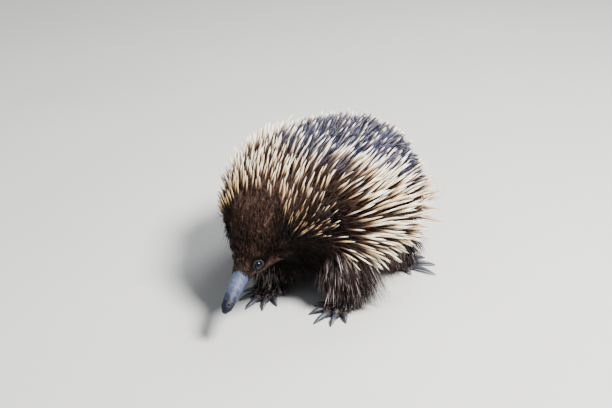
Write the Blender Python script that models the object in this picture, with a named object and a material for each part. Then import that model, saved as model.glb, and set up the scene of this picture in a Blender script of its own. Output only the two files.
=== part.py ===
# A life-size still model of a short-beaked echidna, walking with its beak lowered.
# Metres, +Z up. The animal faces -Y, its left side is +X, and it stands on z = 0.
import math

import bmesh
import bpy
import numpy as np
from mathutils import Matrix, Vector
from mathutils.bvhtree import BVHTree

MM = 0.001
GAP = 0.3 * MM           # kept between nodes that touch

# Stations of the trunk from the tail's root to the beak's tip, in millimetres:
# (forward of the middle, to the left, height of the axis, half width, rise, drop).
TRUNK = (
    (-134, 0, 77, 14, 14, 13),
    (-128, 0, 80, 30, 29, 25),
    (-114, 0, 86, 51, 48, 36),
    (-88, 0, 92, 68, 62, 47),
    (-44, 0, 98, 83, 67, 55),
    (0, 0, 100, 86, 66, 57),
    (37, 0, 101, 84, 63, 55),
    (64, 2, 102, 76.5, 58, 51),
    (86, 6, 103, 64, 54, 45),
    (104, 10, 101, 51, 48, 37),
    (119, 13.5, 95, 37, 37, 31),
    (131, 15, 86, 26, 25.5, 22),
    (141, 17, 78, 18, 17.5, 15.5),
    (148, 18, 74, 13.2, 12.4, 11.4),
    (160, 21, 66.5, 9.4, 9, 8.4),
    (174, 25.4, 59, 8.4, 7.8, 7.3),
    (187, 30, 51.5, 7.3, 6.6, 6.2),
    (193, 32, 48, 6, 5.4, 5.1),
    (196.5, 33, 46, 3.3, 3, 3),
)
TAIL = (
    (-134, 0, 77, 14, 14, 13),
    (-142, 0, 73, 12.5, 12, 11),
    (-154, 0, 66, 9.5, 9, 8),
    (-164, 0, 60, 6, 5.5, 5),
    (-168, 0, 57.5, 3, 2.8, 2.5),
)
# Where the trunk is parted, forward of the middle.
NODES = {
    "rump": (-134, -66),
    "back": (-66, 6),
    "shoulders": (6, 68),
    "neck": (68, 100),
    "head": (100, 153),
    "beak": (153, 196.5),
}
AROUND_TRUNK = 24
TRUNK_STEP = 11

# A leg's stations run down from inside the trunk to the ankle. Here rise is its front and drop its back.
LEGS = {
    "foreleg_left": (
        (32, 50, 92, 26, 24, 30), (42, 66, 64, 25, 24, 34), (47, 79, 38, 20, 19, 27), (51, 83, 14, 15, 15, 17)),
    "foreleg_right": (
        (40, -46, 92, 26, 24, 30), (54, -40, 64, 24, 24, 30), (70, -20, 38, 19, 19, 24), (80, -5, 14, 15, 15, 17)),
    "hindleg_left": (
        (-48, 50, 84, 34, 32, 34), (-54, 64, 54, 29, 27, 29), (-62, 71, 28, 20, 19, 20), (-65, 72, 12, 15, 15, 15)),
    "hindleg_right": (
        (-66, -50, 84, 34, 32, 34), (-74, -66, 54, 29, 27, 29), (-84, -74, 28, 20, 19, 20), (-88, -76, 12, 15, 15, 15)),
}
AROUND_LEG = 9
LEG_STEP = 14

# A foot: where its palm's middle stands (forward, left), the heading of its toes in degrees to the left
# of forward, and each toe's spread, claw length and claw root radius.
FORE_TOES = ((-54, 11, 2.6), (-26, 17, 3.2), (0, 20, 3.4), (26, 17, 3.2), (54, 11, 2.6))
HIND_TOES = ((-58, 9, 2.4), (-29, 29, 3.0), (-3, 23, 2.9), (23, 17, 2.7), (50, 13, 2.4))
FEET = {
    "forefoot_left": (54, 83, -4, FORE_TOES),
    "forefoot_right": (84, -4, 4, FORE_TOES),
    "hindfoot_left": (-69, 74, 132, HIND_TOES),
    "hindfoot_right": (-92, -78, -138, HIND_TOES),
}
PALM_LENGTH = 34
PALM_HALF_WIDTH = 15.5
TOE_LENGTH = 9
TOE_RADIUS = 4.4
TOE_SET_BACK = 4 / 45     # how far a toe's root moves back for each degree of its spread
FOOT_STEP = 9
AROUND_PALM = 12
AROUND_TOE = 6

EYE_RADIUS = 4.9
EYE_FORWARD = 142
EYE_ANGLE = 17
EYE_SINK = 1.4
LID_RADIUS = 1.3
LID_SPREAD = 1.12         # the lids' length over their height
EAR_FORWARD = 78
EAR_ANGLE = 20
EAR_SIZE = (4.8, 11, 4)   # half lengths: fore and aft, up and down, out
EAR_HOLLOW = (1.9, 7.5, 2.9)
EAR_CLEARANCE = 13        # kept free of spines
NOSTRIL_FORWARD = 191
NOSTRIL_ANGLE = 58
NOSTRIL_SIZE = (1.7, 0.9, 1.2)
MOUTH_FORWARD = 193
MOUTH_HEIGHT = 3.6        # above the beak's underside
MOUTH_SIZE = (7, 9, 0.45)
BEAK_STEP = 7
AROUND_BEAK = 12

# How far the coat's tips stand off the trunk's belly, its flank and its top, by place forward of the middle,
# and the angles above the trunk's widest line that those three reaches belong to.
COAT_AT = (-134, -110, -60, 0, 60, 95, 112, 130, 145)
BELLY_REACH = (4, 4, 4, 4, 4, 4, 3, 1, 0)
FLANK_REACH = (24, 44, 58, 50, 30, 13, 6, 2, 0)
TOP_REACH = (17, 20, 21, 24, 25, 18, 10, 3, 0)
REACH_ANGLES = (-44, -16, 42)
CORE_SHARE = 0.42         # the part of the coat's depth that the body fills under spines
CORE_BLEND = 10           # how gently it rises to the whole depth ahead of the spines
CORE_BLEND_ANGLE = 20     # and below them

# Spines stand in rows round the trunk. Their lean is in degrees off the skin, by place in COAT_AT.
SEED = 5
SPINE_SPACING = 16
SPINE_ROW_STEP = 14
SPINES_FROM = -130
SPINES_AHEAD_TO = 115
SPINE_ROOT_DEPTH = 7
SPINE_RADIUS = 1.9
SPINE_SHOULDER = 0.45     # where the taper to the tip begins, as a share of the length
SPINE_ROOT_WIDTH = 0.8    # as a share of the shoulder's
SPINE_FULL_LENGTH = 25    # shorter ones are thinner
SHORTEST_SPINE = 5
SPINE_LEAN = (80, 62, 44, 41, 44, 56, 48, 40, 40)
SPINE_LOWEST = -20
CROWN_LOWEST = 12
SPINE_WANDER = 4          # degrees
SPINE_DROOP = 12
SPINE_MARGINS = (6, 3.5)  # kept to the back and front end of a node

# Locks of long coat: flat, tapered and bent down.
LOCK_HALF_WIDTH = 4.8
LOCK_HALF_THICKNESS = 1.3
LOCK_BEND = 0.45          # as a share of the length
LOCK_PLACES = (-0.2, 0.25, 0.65, 1)
LOCK_WIDTHS = (0.7, 1, 0.7)
FLANK_LOCK_ROWS = (-24, -38)
FLANK_LOCKS_FROM = -105
FLANK_LOCKS_AHEAD_TO = 70
FLANK_LOCK_SPACING = 17
FLANK_LOCK_LENGTH = 44
FLANK_LOCK_LEAN = 48
LEG_LOCK_ROWS = ((0.38, 46), (0.58, 38), (0.79, 27))
LEG_LOCKS_ROUND = 7
LEG_LOCK_LEAN = (28, 12)  # at the leg's sides, and less towards its front

# What is tried in turn where a spine or lock would cross another node: turned aside (radians), shortened.
WAYS_CLEAR = ((0, 1), (0.25, 1), (-0.25, 1), (0.5, 0.85), (-0.5, 0.85), (0, 0.7))
NEARBY = 0.1              # metres

SKINS = {
    "fur": ((0.10, 0.062, 0.040), 0.85),
    "quills": ((0.42, 0.34, 0.22), 0.6),
    "bare_skin": ((0.19, 0.21, 0.25), 0.6),
    "eye": ((0.012, 0.012, 0.016), 0.12),
    "claw": ((0.10, 0.10, 0.12), 0.4),
}


class Tube:
    """A smooth tube through stations of (forward, left, height, half width, rise, drop)."""

    def __init__(self, stations, up_hint=(0, 0, 1)):
        rows = np.array(stations, float) * MM
        self.forward = rows[:, 0]
        self.rows = np.column_stack([rows[:, 1], -rows[:, 0], rows[:, 2:]])
        spans = np.linalg.norm(np.diff(self.rows[:, :3], axis=0), axis=1)
        self.marks = np.concatenate([[0.0], np.cumsum(spans)])
        self.length = float(self.marks[-1])
        self.slopes = np.gradient(self.rows, self.marks, axis=0)
        self.up_hint = Vector(up_hint)

    def row(self, along):
        """The station's values at a distance along the tube, and how fast they change."""
        along = min(max(along, 0.0), self.length)
        k = int(np.clip(np.searchsorted(self.marks, along) - 1, 0, len(self.marks) - 2))
        span = self.marks[k + 1] - self.marks[k]
        t = (along - self.marks[k]) / span
        low, high = self.rows[k], self.rows[k + 1]
        leave, arrive = self.slopes[k] * span, self.slopes[k + 1] * span
        values = ((2 * t**3 - 3 * t**2 + 1) * low + (t**3 - 2 * t**2 + t) * leave
                  + (3 * t**2 - 2 * t**3) * high + (t**3 - t**2) * arrive)
        change = ((6 * t**2 - 6 * t) * (low - high) + (3 * t**2 - 4 * t + 1) * leave
                  + (3 * t**2 - 2 * t) * arrive) / span
        return values, change

    def along(self, forward):
        """The distance along the tube of a place given in millimetres forward of the middle."""
        order = np.argsort(self.forward)
        return float(np.interp(forward * MM, self.forward[order], self.marks[order]))

    def point(self, along, angle, lift=0.0):
        """A point of the surface, or lift metres outside it. Angle 0 is the left side and 90 degrees the top."""
        values, change = self.row(along)
        ahead = Vector(change[:3]).normalized()
        side = self.up_hint.cross(ahead).normalized()
        up = ahead.cross(side).normalized()
        tall = values[4] if math.sin(angle) > 0 else values[5]
        return (Vector(values[:3]) + side * math.cos(angle) * (values[3] + lift)
                + up * math.sin(angle) * (tall + lift))

    def seat(self, along, angle, lift=0.0):
        """A matrix on the surface: X points ahead, Y round the tube and Z outwards."""
        step = 0.4 * MM
        ahead = (self.point(along + step, angle) - self.point(along - step, angle)).normalized()
        turn = self.point(along, angle + 0.01) - self.point(along, angle - 0.01)
        out = ahead.cross(turn).normalized()
        if out.dot(self.point(along, angle, 1.0) - self.point(along, angle)) < 0:
            out.negate()
        axes = Matrix((ahead, out.cross(ahead), out)).transposed().to_4x4()
        return Matrix.Translation(self.point(along, angle, lift)) @ axes


def new_object(name, bm):
    bmesh.ops.recalc_face_normals(bm, faces=bm.faces)
    mesh = bpy.data.meshes.new(name)
    bm.to_mesh(mesh)
    bm.free()
    obj = bpy.data.objects.new(name, mesh)
    bpy.context.scene.collection.objects.link(obj)
    return obj


def loft(rings, tip=None):
    """A closed bmesh through rings of points. It ends flat, or at the tip where one is given."""
    bm = bmesh.new()
    loops = []
    for ring in rings:
        verts = [bm.verts.new(point) for point in ring]
        loops.append([bm.edges.new((verts[k - 1], verts[k])) for k in range(len(verts))])
    for low, high in zip(loops, loops[1:]):
        bmesh.ops.bridge_loops(bm, edges=low + high)
    bmesh.ops.edgeloop_fill(bm, edges=loops[0])
    end = bmesh.ops.edgeloop_fill(bm, edges=loops[-1])["faces"]
    if tip:
        bmesh.ops.poke(bm, faces=end)["verts"][0].co = tip
    bmesh.ops.triangulate(bm, faces=bm.faces, quad_method="FIXED")
    bmesh.ops.recalc_face_normals(bm, faces=bm.faces)
    return bm


def tube_body(name, tube, start, end, step, around, lift=None, grow=0.0):
    """The stretch of a tube from start to end, with lift(along, angle) added all round, grown by grow."""
    count = max(2, round((end - start) / step))
    angles = [math.tau * k / around for k in range(around)]
    rings = []
    for i in range(count + 1):
        along = start + (end - start) * i / count
        ring = [tube.point(along, a, grow + (lift(along, a) if lift else 0.0)) for a in angles]
        if i in (0, count):
            ahead = (tube.point(along + MM, 0) - tube.point(along - MM, 0)).normalized()
            ring = [point + ahead * (grow if i else -grow) for point in ring]
        rings.append(ring)
    return new_object(name, loft(rings))


def ball(name, matrix, half_sizes, segments=16):
    """An ellipsoid of those half sizes, in millimetres, along the matrix's axes."""
    bm = bmesh.new()
    scale = Matrix.Diagonal((*[h * MM for h in half_sizes], 1))
    bmesh.ops.create_uvsphere(bm, u_segments=segments, v_segments=segments // 2, radius=1, matrix=matrix @ scale)
    return new_object(name, bm)


def keep_largest(obj):
    """Drops every closed surface but the largest."""
    bm = bmesh.new()
    bm.from_mesh(obj.data)
    left = set(bm.verts)
    islands = []
    while left:
        island, reached = set(), [left.pop()]
        while reached:
            vert = reached.pop()
            island.add(vert)
            near = [e.other_vert(vert) for e in vert.link_edges]
            reached.extend(v for v in near if v in left)
            left.difference_update(near)
        islands.append(island)
    largest = max(islands, key=len)
    bmesh.ops.delete(bm, geom=[v for v in bm.verts if v not in largest], context="VERTS")
    bm.to_mesh(obj.data)
    bm.free()


def combine(obj, others, operation):
    """Joins the others to obj, or cuts them from it, in one Boolean, and removes them."""
    tools = bpy.data.collections.new(obj.name + "_" + operation.lower())
    bpy.context.scene.collection.children.link(tools)
    for other in others:
        other.users_collection[0].objects.unlink(other)
        tools.objects.link(other)
    modifier = obj.modifiers.new(operation.lower(), "BOOLEAN")
    modifier.operation = operation
    modifier.operand_type = "COLLECTION"
    modifier.collection = tools
    graph = bpy.context.evaluated_depsgraph_get()
    mesh = bpy.data.meshes.new_from_object(obj.evaluated_get(graph))
    obj.modifiers.clear()
    obj.data = mesh
    for other in others:
        bpy.data.objects.remove(other)
    bpy.data.collections.remove(tools)
    keep_largest(obj)
    return obj


def coat_reach(along, angle):
    """How far the coat's tips stand off the trunk."""
    forward = np.interp(along, trunk.marks, trunk.forward) / MM
    reach = [np.interp(forward, COAT_AT, side) for side in (BELLY_REACH, FLANK_REACH, TOP_REACH)]
    turn = math.degrees(math.asin(math.sin(angle)))
    return float(np.interp(turn, REACH_ANGLES, reach)) * MM


def core_lift(along, angle):
    """How far the body stands off the skin: part of the coat's depth under spines, all of it elsewhere."""
    forward = np.interp(along, trunk.marks, trunk.forward) / MM
    turn = math.degrees(math.asin(math.sin(angle)))
    spined = np.interp(turn, (SPINE_LOWEST - CORE_BLEND_ANGLE, SPINE_LOWEST), (0, 1))
    spined *= np.interp(forward, (SPINES_AHEAD_TO - CORE_BLEND, SPINES_AHEAD_TO + CORE_BLEND), (1, 0))
    return coat_reach(along, angle) * (1 - spined * (1 - CORE_SHARE))


def trunk_node(name, grow=0.0):
    low, high = NODES[name]
    start, end = trunk.along(low) + GAP / 2, trunk.along(high) - GAP / 2
    if name == "beak":
        return tube_body(name, trunk, start, trunk.length, BEAK_STEP * MM, AROUND_BEAK, None, grow)
    return tube_body(name, trunk, start, end, TRUNK_STEP * MM, AROUND_TRUNK, core_lift, grow)


def clear_of_trunk(obj, names):
    """Cuts obj back to a gap's width from those nodes of the trunk."""
    return combine(obj, [trunk_node(name, GAP) for name in names], "DIFFERENCE")


def make_tail():
    tail = Tube(TAIL)
    return tube_body("tail", tail, GAP / 2, tail.length, BEAK_STEP * MM, AROUND_BEAK)


def make_eye(side, head):
    angle = math.radians(EYE_ANGLE if side == "left" else 180 - EYE_ANGLE)
    seat = trunk.seat(trunk.along(EYE_FORWARD), angle)
    centre = seat @ Matrix.Translation((0, 0, -EYE_SINK * MM))
    bm = bmesh.new()
    bmesh.ops.create_uvsphere(bm, u_segments=14, v_segments=8, radius=EYE_RADIUS * MM, matrix=centre)
    eye = new_object("eye_" + side, bm)
    bpy.ops.mesh.primitive_torus_add(major_radius=(EYE_RADIUS - 0.1) * MM, minor_radius=LID_RADIUS * MM,
                                     major_segments=14, minor_segments=5)
    lids = bpy.context.object
    lids.data.transform(seat @ Matrix.Diagonal((LID_SPREAD, 1, 1, 1)))
    combine(head, [lids], "UNION")
    combine(head, [ball("socket", centre, [EYE_RADIUS + GAP / MM] * 3, 14)], "DIFFERENCE")
    return eye


def make_ear(side):
    angle = math.radians(EAR_ANGLE if side == "left" else 180 - EAR_ANGLE)
    along = trunk.along(EAR_FORWARD)
    seat = trunk.seat(along, angle, core_lift(along, angle))
    ear = ball("ear_" + side, seat, EAR_SIZE, 12)
    hollow = seat @ Matrix.Translation((0, 0, EAR_SIZE[2] * MM))
    combine(ear, [ball("hollow", hollow, EAR_HOLLOW, 10)], "DIFFERENCE")
    return clear_of_trunk(ear, ("shoulders", "neck", "head"))


def make_beak_openings(beak):
    cutters = []
    for angle in (NOSTRIL_ANGLE, 180 - NOSTRIL_ANGLE):
        seat = trunk.seat(trunk.along(NOSTRIL_FORWARD), math.radians(angle))
        cutters.append(ball("nostril", seat, NOSTRIL_SIZE, 6))
    underside = trunk.seat(trunk.along(MOUTH_FORWARD), math.radians(270))
    mouth = underside @ Matrix.Translation((2 * MM, 0, -MOUTH_HEIGHT * MM))
    cutters.append(ball("mouth", mouth, MOUTH_SIZE, 12))
    combine(beak, cutters, "DIFFERENCE")


def palm(foot, grow=0.0):
    """The flat-soled palm, from its heel to the roots of its toes."""
    half = PALM_LENGTH / 2
    wide = PALM_HALF_WIDTH
    stations = ((-half, 0, 9, wide * 0.5, 7, 12), (-half * 0.6, 0, 10, wide * 0.8, 10, 13), (0, 0, 9, wide, 9, 12),
                (half * 0.7, 0, 7, wide * 0.95, 6, 10), (half, 0, 6, wide * 0.7, 4, 9))
    tube = Tube(stations)
    body = tube_body(foot, tube, 0, tube.length, FOOT_STEP * MM, AROUND_PALM, None, grow)
    body.data.transform(foot_matrix(foot))
    return body


def foot_matrix(foot):
    forward, left, heading, _ = FEET[foot]
    return Matrix.Translation((left * MM, -forward * MM, 0)) @ Matrix.Rotation(math.radians(heading), 4, "Z")


def toe_tube(foot, spread, claw, radius):
    """A toe from inside the palm to its end, and the claw that goes on from it."""
    turn = foot_matrix(foot) @ Matrix.Rotation(math.radians(spread), 4, "Z")
    reach = PALM_LENGTH / 2 - TOE_SET_BACK * abs(spread)
    end = reach + TOE_LENGTH
    toe = Tube(((reach - TOE_LENGTH, 0, 5, TOE_RADIUS * 0.9, 4.4, 7), (reach, 0, 5.4, TOE_RADIUS, 4.4, 7),
                (end - 4, 0, 5, TOE_RADIUS * 0.92, 4, 7), (end, 0, 5, radius, 3, 4.4)))
    start = end + GAP / MM
    nail = Tube(((start, 0, 5, radius * 0.96, 2.8, 2.6), (start + claw * 0.35, 0, 5, radius * 0.92, 2.2, 2.2),
                 (start + claw * 0.75, 0, 3.8, radius * 0.66, 1.5, 1.5),
                 (start + claw, 0, 1.5, radius * 0.22, 0.7, 0.6)))
    return turn, toe, nail


def make_foot(foot):
    body = palm(foot)
    toes, claws = [], []
    for number, (spread, claw, radius) in enumerate(FEET[foot][3], 1):
        turn, toe, nail = toe_tube(foot, spread, claw, radius)
        toes.append(tube_body("toe", toe, 0, toe.length, FOOT_STEP * MM, AROUND_TOE))
        toes[-1].data.transform(turn)
        claws.append(tube_body(f"{foot}_claw_{number}", nail, 0, nail.length, claw / 3 * MM, AROUND_TOE))
        claws[-1].data.transform(turn)
    combine(body, toes, "UNION")
    bm = bmesh.new()
    bm.from_mesh(body.data)
    cut = bmesh.ops.bisect_plane(bm, geom=bm.verts[:] + bm.edges[:] + bm.faces[:], plane_co=(0, 0, 0),
                                 plane_no=(0, 0, -1), clear_outer=True)
    bmesh.ops.holes_fill(bm, edges=[e for e in cut["geom_cut"] if isinstance(e, bmesh.types.BMEdge)])
    bm.to_mesh(body.data)
    bm.free()
    return body, claws


def make_leg(name):
    tube = Tube(LEGS[name], (0, -1, 0))
    leg = tube_body(name, tube, 0, tube.length, LEG_STEP * MM, AROUND_LEG)
    clear_of_trunk(leg, ("shoulders", "neck") if "fore" in name else ("rump", "back"))
    return combine(leg, [palm(name.replace("leg", "foot"), GAP)], "DIFFERENCE")


def hair_aim(seat, lean, turn):
    """A matrix whose Z leans back from the seat's, lean off the skin and turned sideways by turn."""
    return seat @ Matrix.Rotation(turn, 4, "Z") @ Matrix.Rotation(lean - math.pi / 2, 4, "Y")


def spine(seat, lean, turn, length, grow=0.0):
    """A four-sided spine that tapers from its shoulder to its tip."""
    aim = hair_aim(seat, lean, turn)
    wide = SPINE_RADIUS * MM * min(1, 0.5 + length / (2 * SPINE_FULL_LENGTH * MM))
    rings = []
    for height, radius in ((-SPINE_ROOT_DEPTH * MM, SPINE_ROOT_WIDTH * wide), (length * SPINE_SHOULDER, wide)):
        r = radius + grow
        rings.append([aim @ Vector((x, y, height)) for x, y in ((r, 0), (0, r), (-r, 0), (0, -r))])
    return loft(rings, aim @ Vector((0, 0, length + grow)))


def lock(seat, lean, turn, length, grow=0.0):
    """A flat lock of hair, bent towards the ground."""
    aim = hair_aim(seat, lean, turn)
    ahead = aim.to_3x3() @ Vector((0, 0, 1))
    side = aim.to_3x3() @ Vector((0, 1, 0))
    middle = [aim.translation + ahead * length * t + Vector((0, 0, -LOCK_BEND * length * max(t, 0) ** 2))
              for t in LOCK_PLACES]
    rings = []
    for k, share in enumerate(LOCK_WIDTHS):
        along = (middle[k + 1] - middle[max(k - 1, 0)]).normalized()
        thin = along.cross(side).normalized() * (LOCK_HALF_THICKNESS * MM * share + grow)
        flat = side * (LOCK_HALF_WIDTH * MM * share + grow)
        rings.append([middle[k] + flat, middle[k] + thin, middle[k] - flat, middle[k] - thin])
    return loft(rings, middle[-1] + (middle[-1] - middle[-2]).normalized() * grow)


class Coat:
    """Spines and locks, each clear of the nodes that it isn't part of and of what grows on them."""

    def __init__(self, bodies):
        graph = bpy.context.evaluated_depsgraph_get()
        self.bodies = {obj.name: BVHTree.FromObject(obj, graph) for obj in bodies}
        self.placed = []
        self.grown = {obj.name: [] for obj in bodies}

    def clear(self, shape, owner, root):
        tree = BVHTree.FromBMesh(shape)
        lowest = min(vert.co.z for vert in shape.verts)
        shape.free()
        near = [t for name, where, t in self.placed if name != owner and (where - root).length < NEARBY]
        others = [t for name, t in self.bodies.items() if name != owner]
        return lowest > GAP and not any(tree.overlap(other) for other in near + others), tree

    def grow(self, owner, make, seat, lean, turn, length):
        """Adds what make builds at the seat, turned or shortened where it would cross another node."""
        for aside, share in WAYS_CLEAR:
            chosen = (seat, lean, turn + aside, length * share)
            fits, tree = self.clear(make(*chosen, GAP), owner, seat.translation)
            if fits:
                self.placed.append((owner, seat.translation, tree))
                self.grown[owner].append(new_object("hair", make(*chosen)))
                return

    def join(self):
        for owner, pieces in self.grown.items():
            if pieces:
                combine(bpy.data.objects[owner], pieces, "UNION")


def node_at(forward):
    return next(name for name, (low, high) in NODES.items() if low <= forward < high)


def grow_spines(coat, chance):
    ears = [trunk.point(trunk.along(EAR_FORWARD), math.radians(a)) for a in (EAR_ANGLE, 180 - EAR_ANGLE)]
    for row in range(int((SPINES_AHEAD_TO - SPINES_FROM) / SPINE_ROW_STEP)):
        forward = SPINES_FROM + (row + 0.5) * SPINE_ROW_STEP
        owner = node_at(forward)
        low, high = NODES[owner]
        along = trunk.along(min(max(forward, low + SPINE_MARGINS[0]), high - SPINE_MARGINS[1]))
        lowest = math.radians(CROWN_LOWEST if owner == "head" else SPINE_LOWEST)
        angle = lowest + (SPINE_SPACING * MM / 2 / trunk.row(along)[0][3] if row % 2 else 0)
        while angle < math.pi - lowest:
            seat = trunk.seat(along, angle, core_lift(along, angle))
            here = seat.translation
            beside = trunk.point(along, angle + 0.05, core_lift(along, angle + 0.05))
            lean = math.radians(np.interp(forward, COAT_AT, SPINE_LEAN) + chance.normal(0, SPINE_WANDER / 2))
            turn = math.radians(chance.normal(0, SPINE_WANDER) - SPINE_DROOP * math.cos(angle) ** 3)
            height = coat_reach(along, angle) - core_lift(along, angle)
            length = height / math.sin(lean) * chance.uniform(0.85, 1.1)
            if length > SHORTEST_SPINE * MM and min((here - ear).length for ear in ears) > EAR_CLEARANCE * MM:
                coat.grow(owner, spine, seat, lean, turn, length)
            angle += SPINE_SPACING * MM * 0.05 / (beside - here).length * chance.uniform(0.92, 1.08)


def grow_flank_locks(coat, chance):
    lean = math.radians(FLANK_LOCK_LEAN)
    for row in FLANK_LOCK_ROWS:
        forward = FLANK_LOCKS_FROM + row % 7
        while forward < FLANK_LOCKS_AHEAD_TO:
            owner = node_at(forward)
            low, high = NODES[owner]
            along = trunk.along(min(max(forward, low + SPINE_MARGINS[0]), high - SPINE_MARGINS[0]))
            for side in (row, 180 - row):
                angle = math.radians(side + chance.uniform(-3, 3))
                seat = trunk.seat(along, angle, core_lift(along, angle))
                length = FLANK_LOCK_LENGTH * MM * chance.uniform(0.8, 1.1)
                coat.grow(owner, lock, seat, lean, math.radians(chance.normal(0, 2 * SPINE_WANDER)), length)
            forward += FLANK_LOCK_SPACING


def grow_leg_locks(coat, chance):
    lean_aside, lean_less = LEG_LOCK_LEAN
    for name, stations in LEGS.items():
        tube = Tube(stations, (0, -1, 0))
        for row, (share, length) in enumerate(LEG_LOCK_ROWS):
            for k in range(LEG_LOCKS_ROUND):
                angle = math.tau * (k + row / 2) / LEG_LOCKS_ROUND + chance.uniform(-0.1, 0.1)
                seat = tube.seat(tube.length * share, angle) @ Matrix.Rotation(math.pi, 4, "Z")
                lean = math.radians(lean_aside - lean_less * math.sin(angle))
                coat.grow(name, lock, seat, lean, chance.normal(0, 0.1), length * MM * chance.uniform(0.85, 1.1))


def paint(obj, finish):
    colour, roughness = SKINS[finish]
    material = bpy.data.materials.new(obj.name)
    material.use_nodes = True
    shader = material.node_tree.nodes["Principled BSDF"]
    shader.inputs["Base Color"].default_value = (*colour, 1)
    shader.inputs["Roughness"].default_value = roughness
    obj.data.materials.clear()
    obj.data.materials.append(material)


def stand_on_origin(objects):
    """Moves the model so that the middle of its box's bottom is the origin."""
    points = np.array([tuple(v.co) for obj in objects for v in obj.data.vertices])
    low, high = points.min(axis=0), points.max(axis=0)
    shift = Matrix.Translation((-(low[0] + high[0]) / 2, -(low[1] + high[1]) / 2, -low[2]))
    for obj in objects:
        obj.data.transform(shift)


for old in list(bpy.data.objects):
    bpy.data.objects.remove(old)

trunk = Tube(TRUNK)
finishes = {}
for name in NODES:
    finishes[trunk_node(name)] = "bare_skin" if name == "beak" else "fur" if name == "head" else "quills"
parts = {obj.name: obj for obj in finishes}
for side in ("left", "right"):
    finishes[make_eye(side, parts["head"])] = "eye"
    finishes[make_ear(side)] = "fur"
make_beak_openings(parts["beak"])
finishes[make_tail()] = "fur"
for foot in FEET:
    body, claws = make_foot(foot)
    finishes[body] = "bare_skin"
    for claw in claws:
        finishes[claw] = "claw"
for leg in LEGS:
    finishes[make_leg(leg)] = "fur"
coat = Coat(finishes)
chance = np.random.default_rng(SEED)
grow_spines(coat, chance)
grow_flank_locks(coat, chance)
grow_leg_locks(coat, chance)
coat.join()
echidna = bpy.data.collections.new("echidna")
bpy.context.scene.collection.children.link(echidna)
for obj, finish in finishes.items():
    paint(obj, finish)
    bpy.context.scene.collection.objects.unlink(obj)
    echidna.objects.link(obj)
stand_on_origin(list(finishes))
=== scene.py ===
import math
import bpy
import bmesh
import numpy as np
from mathutils import Matrix, Vector
from mathutils.bvhtree import BVHTree


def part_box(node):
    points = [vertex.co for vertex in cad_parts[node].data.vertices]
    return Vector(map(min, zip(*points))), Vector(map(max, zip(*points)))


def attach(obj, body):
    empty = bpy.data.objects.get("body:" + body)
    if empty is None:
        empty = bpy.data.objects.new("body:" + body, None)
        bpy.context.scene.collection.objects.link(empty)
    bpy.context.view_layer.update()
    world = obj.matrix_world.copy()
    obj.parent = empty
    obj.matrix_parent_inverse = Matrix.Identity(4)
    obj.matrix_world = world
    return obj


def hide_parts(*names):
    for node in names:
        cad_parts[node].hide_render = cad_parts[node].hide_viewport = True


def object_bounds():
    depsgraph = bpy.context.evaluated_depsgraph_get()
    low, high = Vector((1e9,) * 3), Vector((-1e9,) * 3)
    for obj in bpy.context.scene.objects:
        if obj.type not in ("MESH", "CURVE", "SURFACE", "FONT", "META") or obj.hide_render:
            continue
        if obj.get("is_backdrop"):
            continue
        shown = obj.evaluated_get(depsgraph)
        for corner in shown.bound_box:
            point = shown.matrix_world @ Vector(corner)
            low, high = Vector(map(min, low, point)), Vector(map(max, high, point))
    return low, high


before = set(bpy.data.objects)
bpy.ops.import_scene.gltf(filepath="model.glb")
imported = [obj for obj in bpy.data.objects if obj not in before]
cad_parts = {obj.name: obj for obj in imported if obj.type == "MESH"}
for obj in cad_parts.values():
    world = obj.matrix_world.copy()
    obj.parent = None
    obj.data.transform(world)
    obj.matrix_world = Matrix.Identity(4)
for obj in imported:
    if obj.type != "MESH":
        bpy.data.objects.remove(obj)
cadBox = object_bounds()
mm = 0.001
dice = np.random.default_rng(11)
tau = 2 * math.pi
sides = ("left", "right")


# small helpers

def unit(v):
    return v / (np.linalg.norm(v, axis=-1, keepdims=True) + 1e-12)


def ramp(x, low, high):  # smooth step from 0 at low to 1 at high
    t = np.clip((np.asarray(x, float) - low) / (high - low), 0, 1)
    return t * t * (3 - 2 * t)


def fall(x, low, high):  # smooth step from 1 at low to 0 at high
    return 1 - ramp(x, low, high)


def blend(a, b, share):  # one colour for all, or a row for each point
    share = np.asarray(share, float)[..., None]
    return np.asarray(a, float) * (1 - share) + np.asarray(b, float) * share


def spotsOf(verts):
    return np.array([tuple(v.co) for v in verts])


def mark(mesh, name, values, kind="FLOAT"):  # a value or a colour at each vertex, for the finishes
    data = mesh.attributes.new(name, kind, "POINT").data
    data.foreach_set("value" if kind == "FLOAT" else "color", np.asarray(values, np.float32).ravel())


def onSide(degrees, side):  # an angle up from the widest line of either side
    return math.radians(degrees if side == "left" else 180 - degrees)


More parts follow.
